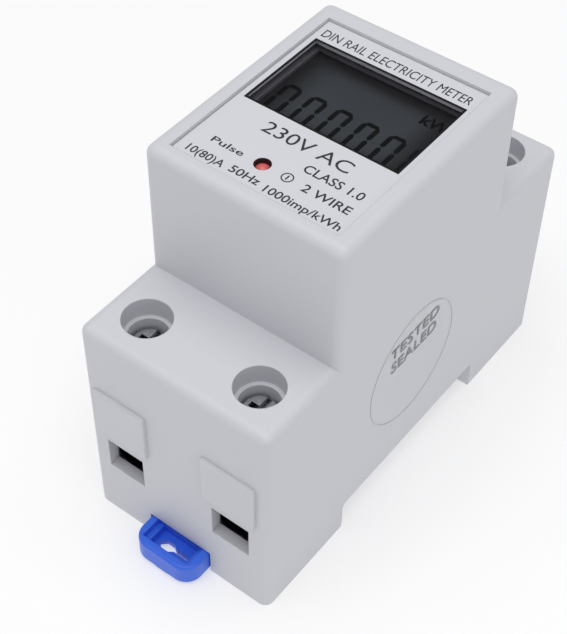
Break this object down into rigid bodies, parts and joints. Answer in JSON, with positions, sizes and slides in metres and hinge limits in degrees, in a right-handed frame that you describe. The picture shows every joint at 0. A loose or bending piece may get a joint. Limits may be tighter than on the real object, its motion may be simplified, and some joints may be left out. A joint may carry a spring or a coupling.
{
  "type": "electricity meter",
  "caption": "Two-module single-phase electricity meter for a 35 mm rail, with a display window, pulse light, cage-clamp terminals and a sliding rail clip.",
  "frame": {"origin": "centre of the rail seat, on the middle of the width and of the rail recess", "axes": "+Z the way the display faces, -Y the end with the rail clip, +X the right-hand side"},
  "size_m": [0.0361, 0.0854, 0.067],
  "materials": {
    "case_plastic": "moulded, fine satin",
    "panel_film": "printed, smooth satin",
    "window_clear": "clear moulded, gloss",
    "bezel_plastic": "moulded black",
    "display_glass": "dark glass",
    "contact_rubber": "banded silicone",
    "board_laminate": "green solder resist",
    "plated_steel": "zinc plated",
    "light_resin": "red tinted resin",
    "bar_copper": "bare copper, satin",
    "shunt_alloy": "resistance alloy, satin",
    "lead_insulation": "red insulation",
    "clip_plastic": "moulded blue, satin",
    "spring_steel": "drawn wire",
    "chip_epoxy": "moulded epoxy",
    "crystal_can": "drawn can",
    "film_case": "yellow box",
    "can_sleeve": "shrunk sleeve",
    "varistor_coat": "dipped coat",
    "resistor_coat": "cement coat",
    "sticker_film": "clear film",
    "cage_steel": "zinc plated, folded",
    "screw_steel": "zinc plated"
  },
  "bodies": {
    "root": {"main_case": "case_plastic", "rail_base": "case_plastic", "front_panel": "panel_film", "display_window": "window_clear", "display_bezel": "bezel_plastic", "lcd_glass": "display_glass", "contact_strips": "contact_rubber", "display_board": "board_laminate", "display_screws": "plated_steel", "pulse_led": "light_resin", "led_spacer": "bezel_plastic", "line_in_busbar": "bar_copper", "line_out_busbar": "bar_copper", "neutral_busbar": "bar_copper", "current_shunt": "shunt_alloy", "sense_leads": "lead_insulation", "clip_spring": "spring_steel", "main_board": "board_laminate", "board_screws": "plated_steel", "metering_chip": "chip_epoxy", "controller_chip": "chip_epoxy", "memory_chip": "chip_epoxy", "pulse_coupler": "chip_epoxy", "crystal": "crystal_can", "dropper_capacitor": "film_case", "smoothing_capacitors": "can_sleeve", "surge_varistor": "varistor_coat", "dropper_resistor": "resistor_coat", "board_header": "bezel_plastic", "inspection_sticker": "sticker_film"},
    "rail_clip": {"din_clip": "clip_plastic"},
    "line_in_screw": {"terminal_screw_1": "screw_steel"},
    "line_in_cage": {"terminal_cage_1": "cage_steel"},
    "neutral_in_screw": {"terminal_screw_2": "screw_steel"},
    "neutral_in_cage": {"terminal_cage_2": "cage_steel"},
    "line_out_screw": {"terminal_screw_3": "screw_steel"},
    "line_out_cage": {"terminal_cage_3": "cage_steel"},
    "neutral_out_screw": {"terminal_screw_4": "screw_steel"},
    "neutral_out_cage": {"terminal_cage_4": "cage_steel"}
  },
  "joints": [
    {"name": "clip_slide", "type": "slide", "parent": "root", "child": "rail_clip", "axis": [0, -1, 0], "range_m": [0, 0.0036], "stiffness_N_per_m": 600, "springref_m": -0.004, "deforming": ["clip_spring"]},
    {"name": "line_in_cage_rise", "type": "slide", "parent": "root", "child": "line_in_cage", "axis": [0, 0, 1], "range_m": [0, 0.0056]},
    {"name": "line_in_screw_turn", "type": "hinge", "parent": "root", "child": "line_in_screw", "pos_m": [-0.0107, -0.0322, 0.03], "axis": [0, 0, -1], "range_deg": [0, 2520]},
    {"name": "neutral_in_cage_rise", "type": "slide", "parent": "root", "child": "neutral_in_cage", "axis": [0, 0, 1], "range_m": [0, 0.0056]},
    {"name": "neutral_in_screw_turn", "type": "hinge", "parent": "root", "child": "neutral_in_screw", "pos_m": [0.0107, -0.0322, 0.03], "axis": [0, 0, -1], "range_deg": [0, 2520]},
    {"name": "line_out_cage_rise", "type": "slide", "parent": "root", "child": "line_out_cage", "axis": [0, 0, 1], "range_m": [0, 0.0056]},
    {"name": "line_out_screw_turn", "type": "hinge", "parent": "root", "child": "line_out_screw", "pos_m": [-0.0107, 0.033, 0.03], "axis": [0, 0, -1], "range_deg": [0, 2520]},
    {"name": "neutral_out_cage_rise", "type": "slide", "parent": "root", "child": "neutral_out_cage", "axis": [0, 0, 1], "range_m": [0, 0.0056]},
    {"name": "neutral_out_screw_turn", "type": "hinge", "parent": "root", "child": "neutral_out_screw", "pos_m": [0.0107, 0.033, 0.03], "axis": [0, 0, -1], "range_deg": [0, 2520]}
  ],
  "couplings": [
    {"joint": "line_in_screw_turn", "follows": "line_in_cage_rise", "rad_per_m": 7854},
    {"joint": "neutral_in_screw_turn", "follows": "neutral_in_cage_rise", "rad_per_m": 7854},
    {"joint": "line_out_screw_turn", "follows": "line_out_cage_rise", "rad_per_m": 7854},
    {"joint": "neutral_out_screw_turn", "follows": "neutral_out_cage_rise", "rad_per_m": 7854}
  ]
}
